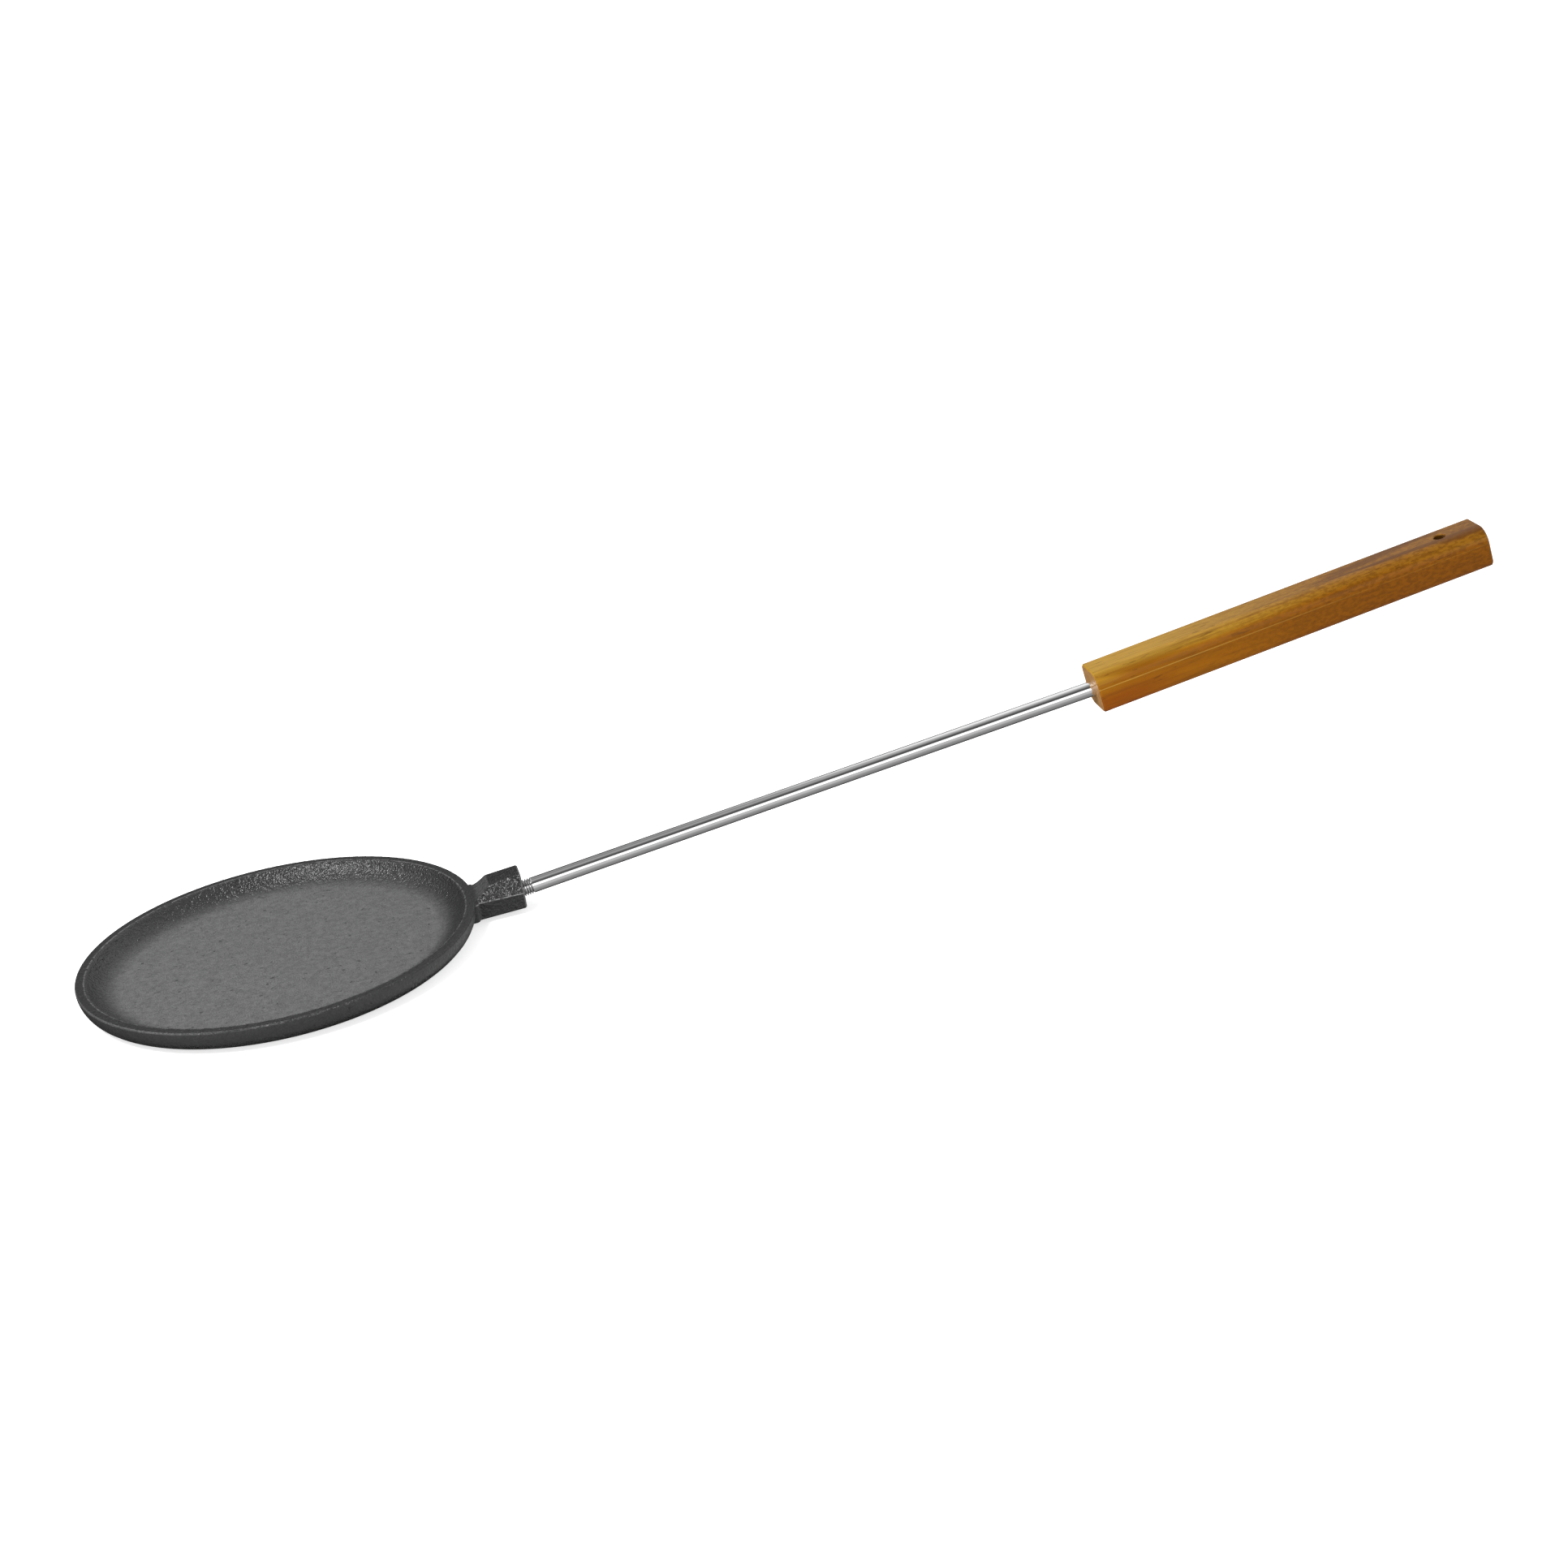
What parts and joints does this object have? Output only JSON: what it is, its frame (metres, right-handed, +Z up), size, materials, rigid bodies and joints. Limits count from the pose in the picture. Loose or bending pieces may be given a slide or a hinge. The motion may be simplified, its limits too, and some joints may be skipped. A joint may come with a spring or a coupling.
{
  "type": "pancake iron",
  "caption": "Shallow round cast iron pancake pan with a cast socket, a long screwed-in steel rod and a varnished wooden grip.",
  "frame": {"origin": "centre of the pan's flat underside, on the surface it stands on", "axes": "+X out along the handle, +Z up, square to the pan's underside, +Y across the handle"},
  "size_m": [0.7512, 0.2, 0.0896],
  "materials": {
    "iron": "rough as cast, dark grey, with a slightly lighter floor",
    "plated_steel": "bright plated round bar",
    "varnished_wood": "orange-brown hardwood under clear gloss varnish"
  },
  "bodies": {
    "pan": {"pan_casting": "iron"},
    "rod": {"rod": "plated_steel"},
    "grip": {"grip": "varnished_wood"}
  },
  "joints": [
    {"name": "rod_advance", "type": "slide", "parent": "pan", "child": "rod", "axis": [0.9928, 0, 0.1201], "range_m": [0, 0.01312]},
    {"name": "handle_turn", "type": "hinge", "parent": "rod", "child": "grip", "pos_m": [0.1, 0, 0.0067], "axis": [0.9928, 0, 0.1201], "range_deg": [0, 3780]}
  ],
  "couplings": [
    {"joint": "handle_turn", "follows": "rod_advance", "rad_per_m": 5026.5}
  ]
}
